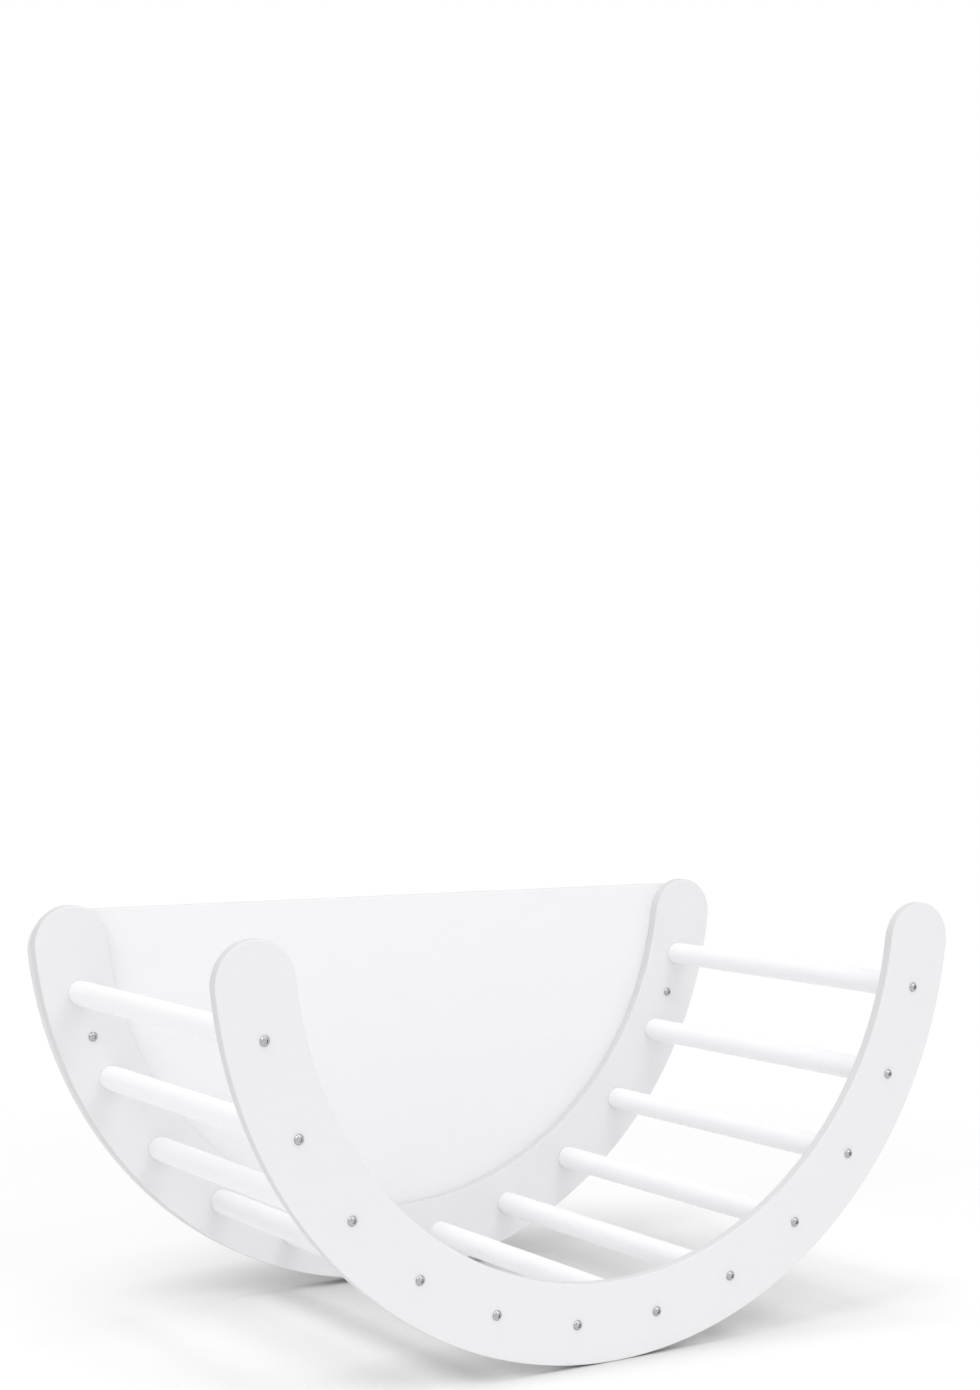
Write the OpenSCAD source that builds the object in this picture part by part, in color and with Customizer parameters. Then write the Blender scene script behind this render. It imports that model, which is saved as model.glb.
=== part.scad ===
// Rocker arch for children: two curved side boards joined by round rungs, with a half-moon board
// behind. +X runs along the rocker, +Y to the half-moon board, +Z up. The origin is on the floor,
// in the middle of the rocker's length and depth.

/* [Arch boards] */
// Radius of the outer edge that rocks on the floor
outer_r = 480; // [440:5:560]
// Width of the curved band, from its inner to its outer edge
band_w = 88; // [80:1:110]
// Thickness of each arch board
board_t = 12; // [12:1:18]
// Angle from straight down to the centre of each round tip
tip_angle = 83.7; // [81:0.1:86]
// Radius of the rounding along the boards' open edges
edge_round = 2; // [1:0.5:3]
// Radius of the rounding where the rear arch and the half-moon board lie on each other
seam_round = 0.5; // [0.3:0.1:1]

/* [Rungs] */
// Number of rungs, an even number so that the lowest panel bolt lies between two of them
rung_count = 12; // [8:2:12]
// Angle from one rung to the next
rung_step = 13.9; // [12.5:0.1:14]
// Diameter of a rung
rung_d = 28; // [25:1:32]
// Clear length of a rung between the two arch boards
rung_gap = 430; // [300:5:600]
// Distance from the arch's outer edge to the centre of a rung
rung_inset = 43.5; // [38:0.5:46]
// Depth of the round seat that holds the end of a rung
seat_depth = 4; // [2:0.5:6]
// Gap all round between a rung and its seat
seat_clear = 0.15; // [0.1:0.05:0.3]
// Rounding at the ends of a rung
rung_round = 1; // [0.5:0.5:2]

/* [Half-moon board] */
// Thickness of the half-moon board
panel_t = 12; // [12:1:18]
// How far its straight top edge lies below the arch's tips
panel_drop = 6; // [2:0.5:20]
// Rungs from the end, counted from 1, that its upper bolts lie between with the next one
panel_bolt_bay = 1; // [1:1:3]

/* [Bolts] */
// Thread diameter of every bolt
bolt_d = 6; // [5:0.5:6]
// Length of a rung bolt under its head
rung_bolt_l = 25; // [20:1:28]
// Diameter of a bolt's domed head
head_d = 11; // [9:0.5:14]
// Height of the domed head
head_h = 3.3; // [2.5:0.1:4]
// Height of the straight rim under the dome
head_rim = 0.6; // [0.3:0.1:1]
// Diameter of the flat on top of the dome
head_flat_d = 6; // [5:0.5:7]
// Width across the flats of the hexagon socket
socket_w = 4; // [3:0.5:4]
// Depth of the hexagon socket
socket_depth = 2; // [1.5:0.1:2.2]
// Gap all round between a bolt and its hole in a board
bolt_clear = 0.3; // [0.2:0.05:0.5]
// Gap round the bolt heads that are sunk into the half-moon board
pocket_clear = 0.5; // [0.3:0.1:1]

/* [Threaded inserts] */
// Outer diameter of an insert
insert_d = 9; // [8.5:0.5:10]
// Length of an insert in a rung
rung_insert_l = 20; // [14:1:24]
// Length of an insert in the half-moon board
panel_insert_l = 9; // [7:0.5:9.5]
// Gap all round between a bolt and its insert, and between an insert and the wood
insert_clear = 0.05; // [0.03:0.01:0.1]
// Free depth in the wood past the end of an insert
insert_relief = 1; // [0.5:0.5:2]

/* [Hidden] */
$fn = 96;

// Radii and angles of the arch
inner_r = outer_r - band_w;
band_r = outer_r - band_w / 2;
rung_r = outer_r - rung_inset;
first_rung = -rung_step * (rung_count - 1) / 2;
rung_angles = [for (i = [0 : rung_count - 1]) first_rung + i * rung_step];

// Depths along Y, from the heads of the front bolts to the back of the half-moon board
depth = head_h + board_t + rung_gap + board_t + panel_t;
front_y = -depth / 2 + head_h;
front_inner_y = front_y + board_t;
rear_inner_y = front_inner_y + rung_gap;
rear_outer_y = rear_inner_y + board_t;

// Heights, from the centre of the circle that the arch is part of
tip_top = band_w / 2 - band_r * cos(tip_angle);
panel_top = tip_top - panel_drop;

// Half-moon board: round corners of the arch tips' own radius, inside the same outer circle
corner_r = band_w / 2;
corner_angle = round(1000 * acos((corner_r - panel_top) / (outer_r - corner_r))) / 1000;
panel_bolt_angle = -first_rung - (panel_bolt_bay - 0.5) * rung_step;
panel_bolt_angles = [-panel_bolt_angle, 0, panel_bolt_angle];
panel_bolt_l = board_t + panel_insert_l;

// Rounding of each board's two edges, at its back and at its front
front_rounds = [edge_round, edge_round];
rear_rounds = [seam_round, edge_round];
panel_rounds = [edge_round, seam_round];

// Holes
bolt_hole_r = bolt_d / 2 + bolt_clear;
insert_hole_r = insert_d / 2 + insert_clear;

// How far shapes that become one piece run into each other
join = 1;

function two_digits(i) = i < 10 ? str("0", i) : str(i);
function rung_name(i) = str("rung_", two_digits(i));

// Places its children, modelled about the Z axis, on the rung circle at an angle from straight
// down, with their +Z along the rocker's +Y.
module on_circle(angle, y) {
    translate([rung_r * sin(angle), y, outer_r - rung_r * cos(angle)])
        rotate([-90, 0, 0])
            children();
}

// Stands a board up: its flat outline in X and Y becomes X and Z about the arch's centre, and its
// thickness, from 0 up, runs from y towards +Y.
module stand_board(y, t) {
    translate([0, y + t, outer_r])
        rotate([90, 0, 0])
            children();
}

// Cross-section of a board's edge: x from from_r to to_r and y over the thickness. The corners at
// to_r are rounded by rounds, the radii at y = 0 and y = t, and those at from_r too if both is true.
module edge_profile(from_r, to_r, t, rounds, both = false) {
    widest = max(rounds);
    start = both ? from_r + widest : from_r;
    translate([start, 0])
        square([to_r - widest - start, t]);
    rounded_end(to_r, widest, t, rounds);
    if (both)
        translate([2 * from_r, 0])
            mirror([1, 0])
                rounded_end(from_r, widest, t, rounds);
}

// The outer end of that cross-section, from widest before x = r to x = r.
module rounded_end(r, widest, t, rounds) {
    translate([r - widest - join, rounds[0]])
        square([widest + join, t - rounds[0] - rounds[1]]);
    for (i = [0, 1]) {
        corner = rounds[i];
        translate([r - widest - join, i * (t - corner)])
            square([widest - corner + join, corner]);
        translate([r - corner, corner + i * (t - 2 * corner)])
            circle(r = corner);
    }
}

// Moves its children to p in whole millimetres, then thousandths, then the rest, which keeps every
// digit of the place of a round corner, so that it meets the straight or curved rim next to it.
module exactly_at(p) {
    whole = [floor(p.x), floor(p.y)];
    fine = [for (v = p - whole) floor(1000 * v) / 1000];
    translate(whole)
        translate(fine)
            translate(p - whole - fine)
                children();
}

// Places its children in both round corners of radius r, the left one mirrored, of a board whose
// outer edge follows the outer circle as far as an angle from straight down.
module in_corners(angle, r) {
    for (side = [0, 1])
        mirror([side, 0, 0])
            exactly_at((outer_r - r) * [sin(angle), -cos(angle)])
                children();
}

// Curved band with round tips, lying flat about its circle's centre, its bottom along -Y.
module band(t, rounds) {
    rotate_extrude(start = -90 - tip_angle, angle = 2 * tip_angle, $fn = 360)
        edge_profile(inner_r, outer_r, t, rounds, both = true);
    in_corners(tip_angle, band_w / 2)
        rotate_extrude(start = tip_angle - 90, angle = 180)
            edge_profile(0, band_w / 2, t, rounds);
}

// Bolt holes at some angles through the arch board that starts at y.
module bolt_holes(angles, y) {
    for (a = angles)
        on_circle(a, y - join)
            cylinder(h = board_t + 2 * join, r = bolt_hole_r);
}

// Round seats that hold the rungs' ends, from y on and one join longer than they are deep.
module rung_seats(y) {
    for (a = rung_angles)
        on_circle(a, y)
            cylinder(h = seat_depth + join, r = rung_d / 2 + seat_clear);
}

module front_arch() {
    color("white")
        difference() {
            stand_board(front_y, board_t) band(board_t, front_rounds);
            rung_seats(front_inner_y - seat_depth);
            bolt_holes(rung_angles, front_y);
        }
}

module rear_arch() {
    color("white")
        difference() {
            stand_board(rear_inner_y, board_t) band(board_t, rear_rounds);
            rung_seats(rear_inner_y - join);
            bolt_holes(concat(rung_angles, panel_bolt_angles), rear_inner_y);
        }
}

// Half-moon outline with every edge rounded, lying flat about the arch's centre: the rim along
// the circle, the corners with the straight edge between them, and the plate inside.
module half_moon(t, rounds) {
    reach = (outer_r - corner_r) * [sin(corner_angle), cos(corner_angle)];
    rotate_extrude(start = -90 - corner_angle, angle = 2 * corner_angle, $fn = 360)
        edge_profile(outer_r - corner_r, outer_r, t, rounds);
    in_corners(corner_angle, corner_r) {
        rotate_extrude(start = corner_angle - 90, angle = 180 - corner_angle)
            edge_profile(0, corner_r, t, rounds);
        mirror([1, 0, 0])
            rotate([90, 0, 90])
                linear_extrude(reach.x + join)
                    edge_profile(0, corner_r, t, rounds);
    }
    linear_extrude(t)
        intersection() {
            circle(r = outer_r - corner_r + join, $fn = 360);
            translate([-reach.x, -outer_r])
                square([2 * reach.x, outer_r - reach.y + join]);
        }
}

module half_moon_board() {
    color("white")
        difference() {
            stand_board(rear_outer_y, panel_t) half_moon(panel_t, panel_rounds);
            for (a = rung_angles)
                on_circle(a, rear_outer_y - join)
                    cylinder(h = head_h + pocket_clear + join, r = head_d / 2 + pocket_clear);
            for (a = panel_bolt_angles)
                on_circle(a, rear_outer_y - join)
                    cylinder(h = panel_insert_l + insert_relief + join, r = insert_hole_r);
        }
}

// Rung i, counted from the left, with both ends bored for the inserts.
module rung(i) {
    length = rung_gap + 2 * seat_depth;
    bore = rung_insert_l + insert_relief;
    color("white")
        on_circle(rung_angles[i - 1], front_inner_y - seat_depth)
            rotate_extrude()
                difference() {
                    union() {
                        square([rung_d / 2 - rung_round, length]);
                        translate([0, rung_round])
                            square([rung_d / 2, length - 2 * rung_round]);
                        for (y = [rung_round, length - rung_round])
                            translate([rung_d / 2 - rung_round, y])
                                circle(r = rung_round);
                    }
                    for (y = [-join, length - bore])
                        translate([-join, y])
                            square([insert_hole_r + join, bore + join]);
                }
}

// Domed bolt: its head stands below z = 0 and its shank above. The dome is part of a ball whose
// centre, above z = 0, is as far from the rim's edge as from the flat's edge.
module bolt(length) {
    ball_z = (pow(head_d, 2) - pow(head_flat_d, 2) + 4 * (pow(head_rim, 2) - pow(head_h, 2)))
        / (8 * (head_h - head_rim));
    ball_r = norm([head_d / 2, ball_z + head_rim]);
    difference() {
        union() {
            cylinder(h = length, r = bolt_d / 2);
            rotate_extrude()
                intersection() {
                    translate([0, ball_z])
                        circle(r = ball_r, $fn = 180);
                    translate([0, -head_h])
                        square([head_d / 2, head_h]);
                }
        }
        translate([0, 0, -head_h - join])
            cylinder(h = socket_depth + join, d = socket_w / cos(30), $fn = 6);
    }
}

module front_rung_bolts() {
    color("silver")
        for (a = rung_angles)
            on_circle(a, front_y)
                bolt(rung_bolt_l);
}

module rear_rung_bolts() {
    color("silver")
        for (a = rung_angles)
            on_circle(a, rear_outer_y)
                mirror([0, 0, 1])
                    bolt(rung_bolt_l);
}

module panel_bolts() {
    color("silver")
        for (a = panel_bolt_angles)
            on_circle(a, rear_inner_y)
                bolt(panel_bolt_l);
}

// Threaded insert: a plain sleeve round the bolt's thread, from z = 0 up.
module insert(length) {
    difference() {
        cylinder(h = length, d = insert_d);
        translate([0, 0, -join])
            cylinder(h = length + 2 * join, r = bolt_d / 2 + insert_clear);
    }
}

module front_rung_inserts() {
    color("goldenrod")
        for (a = rung_angles)
            on_circle(a, front_inner_y - seat_depth)
                insert(rung_insert_l);
}

module rear_rung_inserts() {
    color("goldenrod")
        for (a = rung_angles)
            on_circle(a, rear_inner_y + seat_depth - rung_insert_l)
                insert(rung_insert_l);
}

module panel_inserts() {
    color("goldenrod")
        for (a = panel_bolt_angles)
            on_circle(a, rear_outer_y)
                insert(panel_insert_l);
}

front_arch();
rear_arch();
half_moon_board();
for (i = [1 : rung_count]) rung(i);
front_rung_bolts();
rear_rung_bolts();
front_rung_inserts();
rear_rung_inserts();
panel_bolts();
panel_inserts();
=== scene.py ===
import math

import bpy
import numpy as np
from mathutils import Matrix, Vector


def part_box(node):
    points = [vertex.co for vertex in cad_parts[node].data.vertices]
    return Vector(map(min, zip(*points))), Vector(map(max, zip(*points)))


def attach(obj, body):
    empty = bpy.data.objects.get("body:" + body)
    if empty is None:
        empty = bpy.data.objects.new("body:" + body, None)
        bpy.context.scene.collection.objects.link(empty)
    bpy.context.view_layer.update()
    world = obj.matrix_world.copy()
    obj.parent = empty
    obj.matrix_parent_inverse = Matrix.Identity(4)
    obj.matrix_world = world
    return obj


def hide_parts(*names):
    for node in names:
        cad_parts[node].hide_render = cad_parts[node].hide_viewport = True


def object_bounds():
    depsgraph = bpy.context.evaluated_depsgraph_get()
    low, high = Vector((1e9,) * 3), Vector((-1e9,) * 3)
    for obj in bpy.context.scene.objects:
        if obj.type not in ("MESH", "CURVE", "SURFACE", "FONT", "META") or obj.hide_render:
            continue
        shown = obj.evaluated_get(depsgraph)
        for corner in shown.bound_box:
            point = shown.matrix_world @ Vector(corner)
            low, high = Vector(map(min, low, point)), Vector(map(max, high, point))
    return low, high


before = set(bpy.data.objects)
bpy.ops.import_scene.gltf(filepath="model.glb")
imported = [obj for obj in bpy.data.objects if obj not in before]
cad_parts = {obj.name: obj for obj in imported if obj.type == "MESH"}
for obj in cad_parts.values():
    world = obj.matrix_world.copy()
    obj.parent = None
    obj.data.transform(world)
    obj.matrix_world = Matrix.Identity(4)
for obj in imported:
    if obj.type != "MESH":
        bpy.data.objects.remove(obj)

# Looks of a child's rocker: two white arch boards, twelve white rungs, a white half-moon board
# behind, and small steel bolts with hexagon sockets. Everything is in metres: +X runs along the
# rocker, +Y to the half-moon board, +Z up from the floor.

MM = 0.001
MICRON = 0.001 * MM
BODY = "root"
cad_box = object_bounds()

RUNGS = sorted(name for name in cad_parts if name.startswith("rung_"))

# ---------------------------------------------------------------------------------------------
# Sizes: the arch boards' faces are read from their CAD parts, and the rest are the solids' own,
# with the threads and small chamfers that the solids leave out
# ---------------------------------------------------------------------------------------------
front_low, front_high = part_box("front_arch")
rear_low, rear_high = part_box("rear_arch")
OUTER_R = 480 * MM
RUNG_INSET = 43.5 * MM
RUNG_R = OUTER_R - RUNG_INSET
RUNG_STEP = math.radians(13.9)
RUNG_ANGLES = [RUNG_STEP * (i - (len(RUNGS) - 1) / 2) for i in range(len(RUNGS))]
PANEL_BOLT_ANGLE = RUNG_ANGLES[-1] - RUNG_STEP / 2
PANEL_BOLT_ANGLES = [-PANEL_BOLT_ANGLE, 0, PANEL_BOLT_ANGLE]
SEAT_DEPTH = 4 * MM

BOLT_R = 3 * MM
BOLT_PITCH = 1 * MM
BOLT_THREAD_DEPTH = 0.5 * MM
BOLT_TIP = 1 * MM
RUNG_BOLT_L = 25 * MM
RUNG_BOLT_THREAD_L = 18 * MM
PANEL_BOLT_L = 21 * MM
HEAD_R = 5.5 * MM
HEAD_H = 3.3 * MM
HEAD_RIM = 0.6 * MM
HEAD_EDGE_R = 0.15 * MM
HEAD_FLAT_R = 3 * MM
HEAD_NECK = 0.2 * MM
SOCKET_W = 4 * MM
SOCKET_DEPTH = 2 * MM
SOCKET_DRILL_POINT = 0.35 * MM
SOCKET_CORNER = 0.15 * MM
SOCKET_CHAMFER = 0.2 * MM
INSERT_R = 4.5 * MM
INSERT_BORE_R = 3.05 * MM
INSERT_PITCH = 2.5 * MM
INSERT_THREAD_DEPTH = 0.7 * MM
INSERT_CHAMFER = 0.3 * MM
RUNG_INSERT_L = 20 * MM
PANEL_INSERT_L = 9 * MM

# How finely the fasteners are divided, and the angle past which an edge stays sharp
COLUMNS = 36
AROUND = np.arange(COLUMNS) * 2 * math.pi / COLUMNS
DOME_RINGS = 12
EDGE_RINGS = 4
RINGS_PER_BOLT_TURN = 5
RINGS_PER_INSERT_TURN = 8
SHARP_EDGE = math.radians(35)

# Radians that a fastener is turned about its own axis for each degree along the rung circle
FASTENER_TWIST = 2.4


# ---------------------------------------------------------------------------------------------
# Shapes
# ---------------------------------------------------------------------------------------------
def arc(centre, radius, start, end, count):
    """Points (radius, height) on a circle about centre, from one angle to another."""
    angles = np.linspace(start, end, count)
    return np.column_stack([centre[0] + radius * np.cos(angles),
                            centre[1] + radius * np.sin(angles)])


def hexagon(width):
    """Distance from the middle of a hexagon to its edge at each angle around: half the width
    across the flats over the cosine of the angle to the nearest flat's middle."""
    sixth = math.pi / 3
    return width / 2 / np.cos((AROUND + sixth / 2) % sixth - sixth / 2)


def round_rings(outline):
    """Rings of one radius each, from the (radius, height) points of an outline."""
    return [(np.full(COLUMNS, radius), height) for radius, height in outline]


def thread_rings(rings_per_turn, crest_r, depth, pitch, start, end):
    """Rings of a screw thread: the radius is the crest less the depth times a triangle wave of
    height over pitch less turn, with the depth fading out over one pitch at both ends."""
    heights = np.arange(start, end, pitch / rings_per_turn)
    turn = heights[:, None] / pitch - AROUND[None, :] / (2 * math.pi)
    wave = 2 * np.abs(turn % 1 - 0.5)
    fade = np.clip(np.minimum(heights - start, end - heights) / pitch, 0, 1)[:, None]
    return list(zip(crest_r - depth * wave * fade, heights))


def closed_grid(rings, close_ends):
    """Vertices and quads of a grid wrapped round the Z axis, from rings of (radii, height).
    With close_ends a fan closes the first and last rings; without, the last ring joins the
    first, as on a sleeve."""
    radii = np.array([ring_radii for ring_radii, height in rings])
    heights = np.array([np.full(COLUMNS, height) for ring_radii, height in rings])
    rows = len(rings)
    grid = np.stack([radii * np.cos(AROUND), radii * np.sin(AROUND), heights], axis=-1)
    points = grid.reshape(-1, 3)
    last = rows - 1 if close_ends else rows
    row, column = np.meshgrid(np.arange(last), np.arange(COLUMNS), indexing="ij")
    above, beside = (row + 1) % rows, (column + 1) % COLUMNS
    corners = [row * COLUMNS + column, row * COLUMNS + beside,
               above * COLUMNS + beside, above * COLUMNS + column]
    faces = np.stack(corners, axis=-1).reshape(-1, 4).tolist()
    if close_ends:
        ends = [[0, 0, heights[0].mean()], [0, 0, heights[-1].mean()]]
        first_pole = len(points)
        points = np.vstack([points, ends])
        here = np.arange(COLUMNS)
        after = (here + 1) % COLUMNS
        base = (rows - 1) * COLUMNS
        faces += np.stack([after, here, np.full(COLUMNS, first_pole)], axis=-1).tolist()
        faces += np.stack([base + here, base + after,
                           np.full(COLUMNS, first_pole + 1)], axis=-1).tolist()
    return points, faces


def socket_rings():
    """The bolt's socket, from the drill point in its floor up the six walls and their chamfer,
    and out over part of the head's flat. The shares are of the hexagon, of the chamfer, and of
    the way from the socket's mouth to the edge of the flat."""
    point_share, floor_share, chamfer_share, flat_share = 0.35, 0.97, 0.3, 0.6
    top, floor = -HEAD_H, -HEAD_H + SOCKET_DEPTH
    six = hexagon(SOCKET_W)
    mouth = six + SOCKET_CHAMFER
    return [(six * point_share, floor + SOCKET_DRILL_POINT),
            (six * floor_share, floor),
            (six, floor - SOCKET_CORNER),
            (six, top + SOCKET_CHAMFER),
            (six + SOCKET_CHAMFER * chamfer_share, top + SOCKET_CHAMFER * chamfer_share),
            (mouth, top),
            ((1 - flat_share) * mouth + flat_share * HEAD_FLAT_R, top)]


def head_outline():
    """The bolt's head from the edge of its flat over the dome and round its rim to the neck. The
    dome is part of a ball through the flat's edge and the rim: its middle lies on the axis, at
    the height that is equally far from both."""
    ball_z = (HEAD_R ** 2 - HEAD_FLAT_R ** 2 + HEAD_RIM ** 2 - HEAD_H ** 2) \
        / (2 * (HEAD_H - HEAD_RIM))
    ball_r = math.hypot(HEAD_R, ball_z + HEAD_RIM)
    start = math.atan2(-HEAD_H - ball_z, HEAD_FLAT_R)
    end = math.atan2(-HEAD_RIM - ball_z, HEAD_R)
    dome = arc((0, ball_z), ball_r, start, end, DOME_RINGS)
    edge = arc((HEAD_R - HEAD_EDGE_R, -HEAD_EDGE_R), HEAD_EDGE_R, 0, math.pi / 2, EDGE_RINGS)
    return [*dome, *edge, (BOLT_R + HEAD_NECK, 0), (BOLT_R, HEAD_NECK)]


def bolt_surface(length, threaded):
    """A domed bolt along Z, head below z = 0: one path of rings runs from the socket's floor up
    its six walls, over the flat, the dome and the rim, and down the threaded shank to its tip."""
    end = length - BOLT_TIP
    tip = [(BOLT_R, end), (BOLT_R - BOLT_THREAD_DEPTH, length), (BOLT_R / 2, length)]
    rings = socket_rings() + round_rings(head_outline())
    rings += thread_rings(RINGS_PER_BOLT_TURN, BOLT_R, BOLT_THREAD_DEPTH, BOLT_PITCH,
                          length - threaded, end)
    return closed_grid(rings + round_rings(tip), close_ends=True)


def insert_surface(length):
    """A threaded insert along Z from z = 0 up: a coarse thread outside and a smooth bore inside,
    with small chamfers, as one sleeve whose last ring joins the first."""
    start, end = INSERT_CHAMFER, length - INSERT_CHAMFER
    bore_mouth, outer_edge = INSERT_BORE_R + INSERT_CHAMFER, INSERT_R - INSERT_CHAMFER
    bore = [(INSERT_BORE_R, end), (INSERT_BORE_R, length / 2), (INSERT_BORE_R, start),
            (bore_mouth, 0), (outer_edge, 0)]
    far_end = [(INSERT_R, end), (outer_edge, length), (bore_mouth, length)]
    rings = round_rings(bore)
    rings += thread_rings(RINGS_PER_INSERT_TURN, INSERT_R, INSERT_THREAD_DEPTH, INSERT_PITCH,
                          start, end)
    return closed_grid(rings + round_rings(far_end), close_ends=False)


def on_circle(points, angle, y, towards_back):
    """Points modelled along Z, moved to the rung circle at an angle from straight down, with
    their +Z along the rocker's +Y, or -Y if not towards_back. Each fastener is turned about its
    own axis by an amount of its own, as tightened screws are."""
    turn = FASTENER_TWIST * math.degrees(angle)
    cos_t, sin_t = math.cos(turn), math.sin(turn)
    x = points[:, 0] * cos_t - points[:, 1] * sin_t
    z = points[:, 0] * sin_t + points[:, 1] * cos_t
    along = points[:, 2]
    if towards_back:
        x = -x
    else:
        along = -along
    place = (RUNG_R * math.sin(angle), y, OUTER_R - RUNG_R * math.cos(angle))
    return np.column_stack([x, along, z]) + place


def make_mesh(name, shapes):
    """One mesh object at the origin from several (points, faces) shapes, all shaded smooth except
    across sharp edges."""
    points, faces, base = [], [], 0
    for shape_points, shape_faces in shapes:
        points.append(shape_points)
        faces += [[base + corner for corner in face] for face in shape_faces]
        base += len(shape_points)
    mesh = bpy.data.meshes.new(name)
    mesh.from_pydata(np.vstack(points).tolist(), [], faces)
    mesh.update()
    piece = bpy.data.objects.new(name, mesh)
    bpy.context.scene.collection.objects.link(piece)
    mesh.shade_smooth()
    mesh.set_sharp_from_angle(angle=SHARP_EDGE)
    return piece


def fastener_group(node, shape, angles, y, towards_back, material):
    """A row of equal fasteners on the rung circle, standing for one CAD node."""
    points, faces = shape
    piece = make_mesh(node + "_detailed",
                      [(on_circle(points, a, y, towards_back), faces) for a in angles])
    piece.data.materials.append(material)
    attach(piece, BODY)
    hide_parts(node)


# ---------------------------------------------------------------------------------------------
# Shader nodes
# ---------------------------------------------------------------------------------------------
def add_node(tree, kind, inputs=None, **settings):
    """A node with its settings, and each given input linked from a socket or set to a value."""
    node = tree.nodes.new(kind)
    for key, value in settings.items():
        setattr(node, key, value)
    for key, value in (inputs or {}).items():
        if isinstance(value, bpy.types.NodeSocket):
            tree.links.new(value, node.inputs[key])
        else:
            node.inputs[key].default_value = value
    return node


def math_node(tree, operation, a, b=0.0, c=0.0):
    """The output of a Math node."""
    return add_node(tree, "ShaderNodeMath", {0: a, 1: b, 2: c}, operation=operation).outputs[0]


def mix_colours(tree, factor, first, second):
    """The output of a colour Mix node between two plain colours."""
    node = add_node(tree, "ShaderNodeMix", {"Factor": factor}, data_type="RGBA")
    for socket, colour in zip([s for s in node.inputs if s.type == "RGBA"], (first, second)):
        socket.default_value = (*colour, 1)
    return [s for s in node.outputs if s.type == "RGBA"][0]


def mix_values(tree, factor, first, second):
    """A value between two others."""
    return add_node(tree, "ShaderNodeMapRange",
                    {"Value": factor, "To Min": first, "To Max": second}).outputs["Result"]


def smooth_step(tree, value, start, end, first, second):
    """A value that goes smoothly from first to second while another goes from start to end."""
    return add_node(tree, "ShaderNodeMapRange",
                    {"Value": value, "From Min": start, "From Max": end,
                     "To Min": first, "To Max": second},
                    interpolation_type="SMOOTHSTEP").outputs["Result"]


def noise(tree, place, scale, detail, roughness=0.5):
    """A cloudy pattern from 0 to 1, with the scale in waves to each unit of the place."""
    return add_node(tree, "ShaderNodeTexNoise",
                    {"Vector": place, "Scale": scale, "Detail": detail,
                     "Roughness": roughness}).outputs["Fac"]


def new_group(name, inputs, outputs):
    """An empty shader node group with named (name, socket type, default) inputs and outputs."""
    group = bpy.data.node_groups.new(name, "ShaderNodeTree")
    for label, kind, default in inputs:
        socket = group.interface.new_socket(label, in_out="INPUT", socket_type=kind)
        if default is not None:
            socket.default_value = default
    for label, kind in outputs:
        group.interface.new_socket(label, in_out="OUTPUT", socket_type=kind)
    return group, group.nodes.new("NodeGroupInput"), group.nodes.new("NodeGroupOutput")


# ---------------------------------------------------------------------------------------------
# Effects that more than one material uses
# ---------------------------------------------------------------------------------------------
def paint_film_group():
    """Sprayed satin paint: a fine stipple, long faint fibres of the wood below it that the
    stretch sets the direction of, and slow changes of sheen. Heights are in metres."""
    group, given, made = new_group(
        "paint_film",
        [("Vector", "NodeSocketVector", None),
         ("Stretch", "NodeSocketVector", (1, 1, 1)),
         ("Stipple Height", "NodeSocketFloat", 10 * MICRON),
         ("Fibre Height", "NodeSocketFloat", 20 * MICRON)],
        [("Height", "NodeSocketFloat"), ("Sheen", "NodeSocketFloat"),
         ("Tint", "NodeSocketFloat")])
    place = given.outputs["Vector"]
    stretched = add_node(group, "ShaderNodeVectorMath",
                         {0: place, 1: given.outputs["Stretch"]}, operation="MULTIPLY")
    stipple = noise(group, place, scale=900.0, detail=2.0)
    fibres = noise(group, stretched.outputs[0], scale=1.0, detail=4.0, roughness=0.6)
    clouds = noise(group, place, scale=14.0, detail=3.0)
    stippled = math_node(group, "MULTIPLY", stipple, given.outputs["Stipple Height"])
    fibrous = math_node(group, "MULTIPLY", fibres, given.outputs["Fibre Height"])
    group.links.new(math_node(group, "ADD", stippled, fibrous), made.inputs["Height"])
    group.links.new(clouds, made.inputs["Sheen"])
    group.links.new(fibres, made.inputs["Tint"])
    return group


def ply_layers_group():
    """The edges of a plywood board: where the surface doesn't face Y, and on them the faint glue
    lines between the veneers, a slightly wavering wave across the board's thickness. A surface
    counts as edge by how little it faces Y, between the two limits."""
    waver, line_share = 0.6 * MM, 0.16
    all_edge, all_face = 0.6, 0.97
    group, given, made = new_group(
        "ply_layers",
        [("Vector", "NodeSocketVector", None),
         ("Normal", "NodeSocketVector", None),
         ("Veneer", "NodeSocketFloat", 1.3 * MM)],
        [("Lines", "NodeSocketFloat"), ("Edge", "NodeSocketFloat")])
    place = given.outputs["Vector"]
    across = add_node(group, "ShaderNodeSeparateXYZ", {0: place}).outputs["Y"]
    wobble = noise(group, place, scale=25.0, detail=2.0)
    shifted = math_node(group, "MULTIPLY_ADD", wobble, waver, across)
    turns = math_node(group, "DIVIDE", shifted, given.outputs["Veneer"])
    wave = math_node(group, "PINGPONG", turns, 0.5)
    narrow = smooth_step(group, wave, 0.0, line_share, 1.0, 0.0)
    facing = add_node(group, "ShaderNodeSeparateXYZ", {0: given.outputs["Normal"]}).outputs["Y"]
    flat = math_node(group, "ABSOLUTE", facing)
    edge = smooth_step(group, flat, all_edge, all_face, 1.0, 0.0)
    group.links.new(math_node(group, "MULTIPLY", narrow, edge), made.inputs["Lines"])
    group.links.new(edge, made.inputs["Edge"])
    return group


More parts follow.
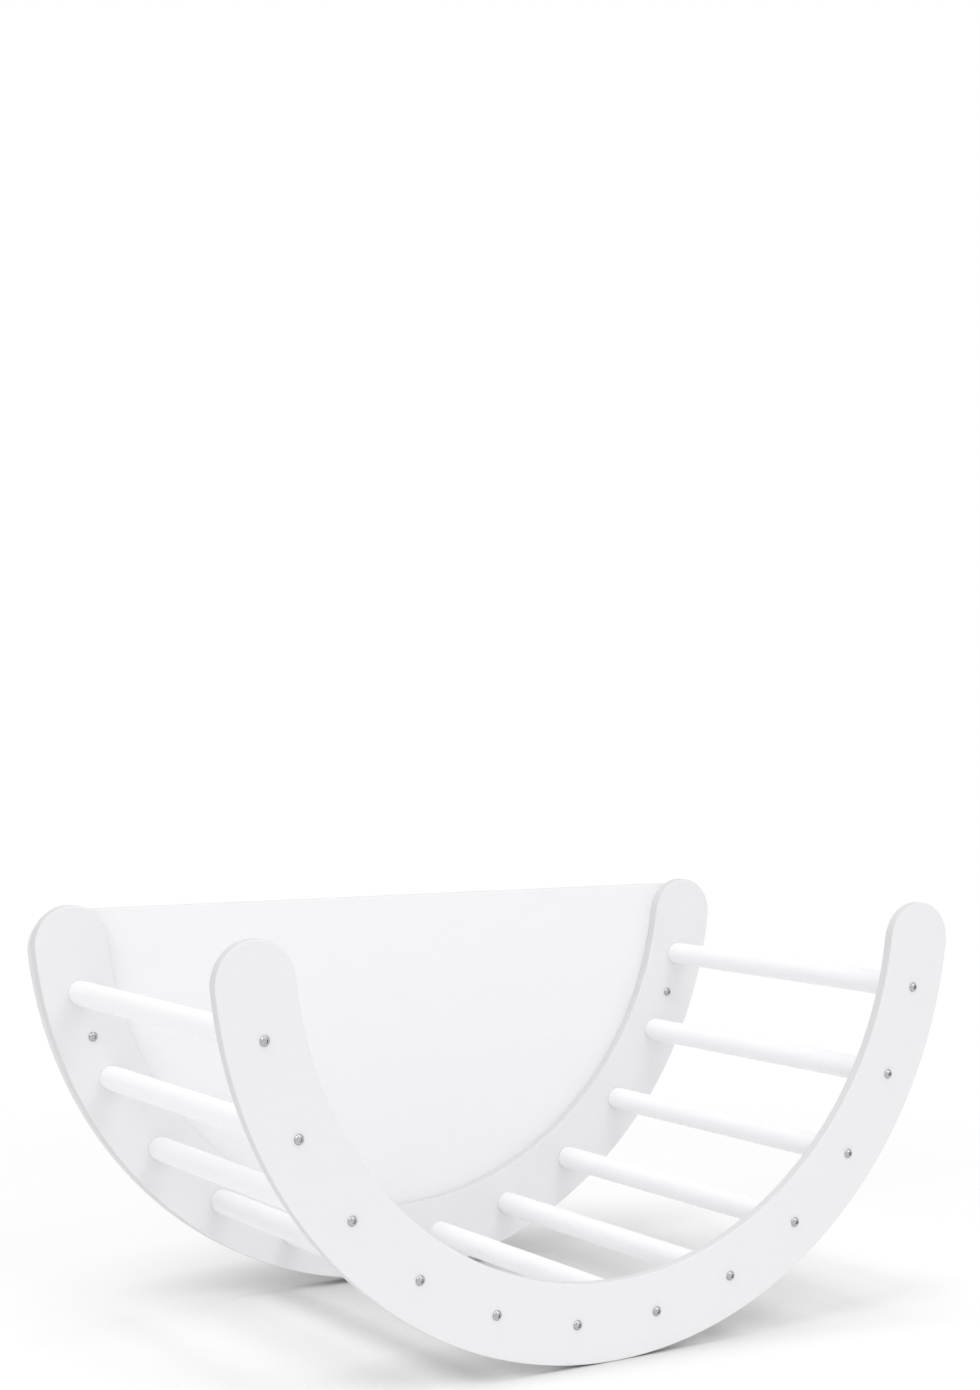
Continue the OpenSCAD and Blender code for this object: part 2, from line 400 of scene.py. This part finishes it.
def turned_metal_group():
    """Plated steel: fine scratches and a slight mottling of the plating."""
    group, given, made = new_group(
        "turned_metal",
        [("Vector", "NodeSocketVector", None),
         ("Scratch Height", "NodeSocketFloat", 10 * MICRON)],
        [("Height", "NodeSocketFloat"), ("Mottle", "NodeSocketFloat")])
    place = given.outputs["Vector"]
    scratches = noise(group, place, scale=2600.0, detail=3.0)
    height = math_node(group, "MULTIPLY", scratches, given.outputs["Scratch Height"])
    group.links.new(height, made.inputs["Height"])
    group.links.new(noise(group, place, scale=420.0, detail=3.0), made.inputs["Mottle"])
    return group


PAINT_FILM = paint_film_group()
PLY_LAYERS = ply_layers_group()
TURNED_METAL = turned_metal_group()

# ---------------------------------------------------------------------------------------------
# Materials
# ---------------------------------------------------------------------------------------------
PAINT_IOR = 1.45
PAINT_SMOOTH, PAINT_ROUGH = 0.5, 0.62
STIPPLE_HEIGHT = 12 * MICRON
SCRATCH_HEIGHT = 4 * MICRON
VENEER = 1.33 * MM
# Painted shade: how much greyer a board's edges are painted, for the dimmer light on them
PAINTED_EDGE_SHADE = 0.84
GLUE_LINE_SHADE = 0.6
GLUE_LINE_DEPTH = 30 * MICRON


def new_material(name):
    """A node material, its tree, its Principled shader and its Texture Coordinate node."""
    material = bpy.data.materials.new(name)
    material.use_nodes = True
    tree = material.node_tree
    return material, tree, tree.nodes["Principled BSDF"], tree.nodes.new("ShaderNodeTexCoord")


def place_group(tree, group, inputs):
    """A node group placed in a material, with its inputs linked or set."""
    return add_node(tree, "ShaderNodeGroup", inputs, node_tree=group)


def add_relief(tree, shader, height):
    """Relief on a material's surface, from a height in metres."""
    bump = add_node(tree, "ShaderNodeBump", {"Height": height, "Strength": 1.0, "Distance": 1.0})
    tree.links.new(bump.outputs["Normal"], shader.inputs["Normal"])


def satin_paint(name, light, dark, stretch, fibre_height, veneer=None):
    """Satin white paint over wood: the colour drifts between light and dark with the fibres, the
    roughness with the sheen. A board's edge is painted a shade greyer, as painted shade for the
    dimmer light on the edges, and the glue lines show faintly in it."""
    material, tree, shader, place = new_material(name)
    film = place_group(tree, PAINT_FILM,
                       {"Vector": place.outputs["Object"], "Stretch": stretch,
                        "Stipple Height": STIPPLE_HEIGHT, "Fibre Height": fibre_height})
    shade, height = film.outputs["Tint"], film.outputs["Height"]
    if veneer:
        plies = place_group(tree, PLY_LAYERS,
                            {"Vector": place.outputs["Object"],
                             "Normal": place.outputs["Normal"], "Veneer": veneer})
        lines = plies.outputs["Lines"]
        shade = math_node(tree, "MULTIPLY_ADD", lines, -GLUE_LINE_SHADE, shade)
        height = math_node(tree, "MULTIPLY_ADD", lines, -GLUE_LINE_DEPTH, height)
    colour = mix_colours(tree, shade, dark, light)
    if veneer:
        # Painted shade: the boards' edges are darkened by this factor
        painted_edge_shade = mix_values(tree, plies.outputs["Edge"], 1.0, PAINTED_EDGE_SHADE)
        colour = add_node(tree, "ShaderNodeVectorMath", {0: colour, "Scale": painted_edge_shade},
                          operation="SCALE").outputs[0]
    tree.links.new(colour, shader.inputs["Base Color"])
    rough = mix_values(tree, film.outputs["Sheen"], PAINT_SMOOTH, PAINT_ROUGH)
    tree.links.new(rough, shader.inputs["Roughness"])
    add_relief(tree, shader, height)
    shader.inputs["IOR"].default_value = PAINT_IOR
    return material


def plated_steel(name, light, dark, smooth, rough):
    """Plated steel: colour and roughness drift with the mottling, and fine scratches catch the
    light."""
    material, tree, shader, place = new_material(name)
    metal = place_group(tree, TURNED_METAL,
                        {"Vector": place.outputs["Object"], "Scratch Height": SCRATCH_HEIGHT})
    mottle = metal.outputs["Mottle"]
    tree.links.new(mix_colours(tree, mottle, dark, light), shader.inputs["Base Color"])
    tree.links.new(mix_values(tree, mottle, smooth, rough), shader.inputs["Roughness"])
    add_relief(tree, shader, metal.outputs["Height"])
    shader.inputs["Metallic"].default_value = 1.0
    return material


BOARD_PAINT = satin_paint("board_paint", light=(0.84, 0.837, 0.854), dark=(0.816, 0.813, 0.83),
                          stretch=(30, 260, 260), fibre_height=20 * MICRON, veneer=VENEER)
# Painted light: the half-moon board takes the boards' white made lighter, for the extra light that
# falls on it
PANEL_PAINT_WITH_PAINTED_LIGHT = satin_paint("panel_paint_with_painted_light", light=(0.922, 0.919, 0.936), dark=(0.897, 0.894, 0.911),
                          stretch=(30, 260, 260), fibre_height=20 * MICRON, veneer=VENEER)
RUNG_PAINT = satin_paint("rung_paint", light=(0.93, 0.927, 0.943), dark=(0.905, 0.902, 0.918),
                         stretch=(320, 22, 320), fibre_height=30 * MICRON)
BOLT_STEEL = plated_steel("bolt_steel", light=(0.52, 0.52, 0.53), dark=(0.42, 0.42, 0.43),
                          smooth=0.14, rough=0.26)
INSERT_STEEL = plated_steel("insert_steel", light=(0.66, 0.65, 0.6), dark=(0.58, 0.56, 0.5),
                            smooth=0.3, rough=0.45)


# ---------------------------------------------------------------------------------------------
# The rocker
# ---------------------------------------------------------------------------------------------
def paint_node(name, material):
    """A CAD node keeps its shape and takes a finish."""
    for material_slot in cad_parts[name].material_slots:
        material_slot.material = material


paint_node("front_arch", BOARD_PAINT)
paint_node("rear_arch", BOARD_PAINT)
paint_node("half_moon_board", PANEL_PAINT_WITH_PAINTED_LIGHT)
for rung in RUNGS:
    paint_node(rung, RUNG_PAINT)

rung_bolt = bolt_surface(RUNG_BOLT_L, threaded=RUNG_BOLT_THREAD_L)
panel_bolt = bolt_surface(PANEL_BOLT_L, threaded=PANEL_INSERT_L)
rung_insert = insert_surface(RUNG_INSERT_L)
panel_insert = insert_surface(PANEL_INSERT_L)
for node, shape, angles, y, towards_back in [
        ("front_rung_bolts", rung_bolt, RUNG_ANGLES, front_low.y, True),
        ("rear_rung_bolts", rung_bolt, RUNG_ANGLES, rear_high.y, False),
        ("panel_bolts", panel_bolt, PANEL_BOLT_ANGLES, rear_low.y, True)]:
    fastener_group(node, shape, angles, y, towards_back, BOLT_STEEL)
for node, shape, angles, y, towards_back in [
        ("front_rung_inserts", rung_insert, RUNG_ANGLES, front_high.y - SEAT_DEPTH, True),
        ("rear_rung_inserts", rung_insert, RUNG_ANGLES, rear_low.y + SEAT_DEPTH, False),
        ("panel_inserts", panel_insert, PANEL_BOLT_ANGLES, rear_high.y, True)]:
    fastener_group(node, shape, angles, y, towards_back, INSERT_STEEL)


# ---------------------------------------------------------------------------------------------
# Studio
# ---------------------------------------------------------------------------------------------
def seen_ray(tree):
    """A mask: 1 for rays that show the background itself, straight, mirrored or through glass."""
    path = tree.nodes.new("ShaderNodeLightPath")
    straight = math_node(tree, "MAXIMUM", path.outputs["Is Camera Ray"],
                         path.outputs["Is Transmission Ray"])
    return math_node(tree, "MAXIMUM", straight, path.outputs["Is Glossy Ray"])


def make_world(even, front):
    """A white background to the eye and to metal. The rocker is lit by an even pale light and by
    more of it from in front, which falls off with the angle from -Y."""
    world = bpy.data.worlds.new("studio")
    bpy.context.scene.world = world
    world.use_nodes = True
    tree = world.node_tree
    direction = add_node(tree, "ShaderNodeSeparateXYZ",
                         {0: tree.nodes.new("ShaderNodeTexCoord").outputs["Generated"]})
    ahead = math_node(tree, "MAXIMUM", math_node(tree, "MULTIPLY", direction.outputs["Y"], -1.0))
    light = math_node(tree, "MULTIPLY_ADD", ahead, front, even)
    background = tree.nodes["Background"]
    background.inputs["Color"].default_value = (1, 1, 1, 1)
    tree.links.new(mix_values(tree, seen_ray(tree), light, 1.0), background.inputs["Strength"])


def openness(tree, reach, power, lean):
    """How much of the sky within reach a point of the floor sees, to a power. The lean is the
    middle of that part of the sky."""
    side = add_node(tree, "ShaderNodeCombineXYZ", dict(enumerate(lean)))
    nearby = add_node(tree, "ShaderNodeAmbientOcclusion",
                      {"Distance": reach, "Normal": side.outputs[0]})
    return math_node(tree, "POWER", nearby.outputs["AO"], power)


def make_floor(size, seen, bounced, shades, fade_from, fade_to):
    """A pale floor that keeps the rocker's shadow. The eye sees it in one grey with a painted
    shadow, darker by each of the shades (reach, power, lean) where the rocker stands close over
    it, and fading to plain white farther off. The light that it throws back on the rocker takes
    another grey."""
    half = size / 2
    mesh = bpy.data.meshes.new("floor")
    mesh.from_pydata([(-half, -half, 0), (half, -half, 0), (half, half, 0), (-half, half, 0)],
                     [], [(0, 1, 2, 3)])
    floor = bpy.data.objects.new("floor", mesh)
    bpy.context.scene.collection.objects.link(floor)
    material = bpy.data.materials.new("floor_white")
    material.use_nodes = True
    tree = material.node_tree
    tree.nodes.remove(tree.nodes["Principled BSDF"])
    looked_at = seen_ray(tree)
    painted_shadow_grey = seen
    # Painted shadow: the floor's grey to the eye is darkened where little of the sky is open
    for reach, power, lean in shades:
        painted_shadow_grey = math_node(tree, "MULTIPLY", openness(tree, reach, power, lean), painted_shadow_grey)
    grey = mix_values(tree, looked_at, bounced, painted_shadow_grey)
    plain = add_node(tree, "ShaderNodeBsdfDiffuse", {"Color": grey})
    middle = [(low + high) / 2 for low, high in zip(*cad_box)]
    place = tree.nodes.new("ShaderNodeTexCoord")
    away = add_node(tree, "ShaderNodeVectorMath",
                    {0: place.outputs["Object"], 1: (middle[0], middle[1], 0)},
                    operation="DISTANCE")
    far = smooth_step(tree, away.outputs["Value"], fade_from, fade_to, 0.0, 1.0)
    distant = add_node(tree, "ShaderNodeEmission", {"Color": (1, 1, 1, 1)})
    faded = math_node(tree, "MULTIPLY", far, looked_at)
    mixed = add_node(tree, "ShaderNodeMixShader",
                     {0: faded, 1: plain.outputs[0], 2: distant.outputs[0]})
    tree.links.new(mixed.outputs[0], tree.nodes["Material Output"].inputs["Surface"])
    mesh.materials.append(material)


LAMP_AIM = (0, 0, 0.25)


def add_softbox(name, place, width, power):
    """A square lamp at a place, facing the middle of the rocker."""
    lamp = bpy.data.lights.new(name, "AREA")
    lamp.shape = "RECTANGLE"
    lamp.size = lamp.size_y = width
    lamp.energy = power
    softbox = bpy.data.objects.new(name, lamp)
    bpy.context.scene.collection.objects.link(softbox)
    softbox.location = place
    aim = Vector(LAMP_AIM) - Vector(place)
    softbox.rotation_euler = aim.to_track_quat("-Z", "Y").to_euler()


def add_camera():
    """The photograph's view: from the front left, a little above the tips, with the picture's
    lower part on the rocker. Turn, rise and roll are angles of the line of sight."""
    photo_height_px, focal_px, sensor_mm = 1390, 2228.6, 36
    turn, rise, roll = (math.radians(a) for a in (-33.555, 4.568, 0.325))
    distance, aim_x, aim_above_outer_r, picture_shift = 2.2596, -0.1671, 0.0227, 0.1475
    aim = Vector((aim_x, front_low.y, OUTER_R + aim_above_outer_r))
    back = Vector((math.sin(turn) * math.cos(rise), -math.cos(turn) * math.cos(rise),
                   math.sin(rise)))
    level = Vector((math.cos(turn), math.sin(turn), 0))
    upright = back.cross(level)
    right = math.cos(roll) * level + math.sin(roll) * upright
    up = math.cos(roll) * upright - math.sin(roll) * level
    camera = bpy.data.cameras.new("camera")
    camera.sensor_width = sensor_mm
    camera.lens = focal_px / photo_height_px * sensor_mm
    camera.shift_y = picture_shift
    camera.clip_end = 100
    view = bpy.data.objects.new("camera", camera)
    bpy.context.scene.collection.objects.link(view)
    place = aim + distance * back
    view.matrix_world = Matrix.Translation(place) @ Matrix((right, up, back)).transposed().to_4x4()
    bpy.context.scene.camera = view


add_camera()
make_world(even=0.705, front=0.13)
make_floor(size=60, seen=1.0, bounced=1.0,
           shades=[(0.15, 0.61, (-0.38, -0.82, 0.42)), (0.3, 0.33, (-0.77, 0, 0.64)),
                   (0.3, 0.51, (-0.86, -0.5, 0.14))],
           fade_from=0.7, fade_to=1.6)
add_softbox("top_softbox", (0, 0, 3.45), width=1.8, power=21.3)
add_softbox("front_softbox", (0, -3.15, 0.95), width=1.8, power=1.6)
add_softbox("left_key_softbox", (-2.186, -0.586, 2.513), width=1.3, power=13.3)
add_softbox("front_key_softbox", (0.586, -2.186, 2.513), width=1.3, power=11.9)

bpy.context.scene.view_settings.view_transform = "Standard"
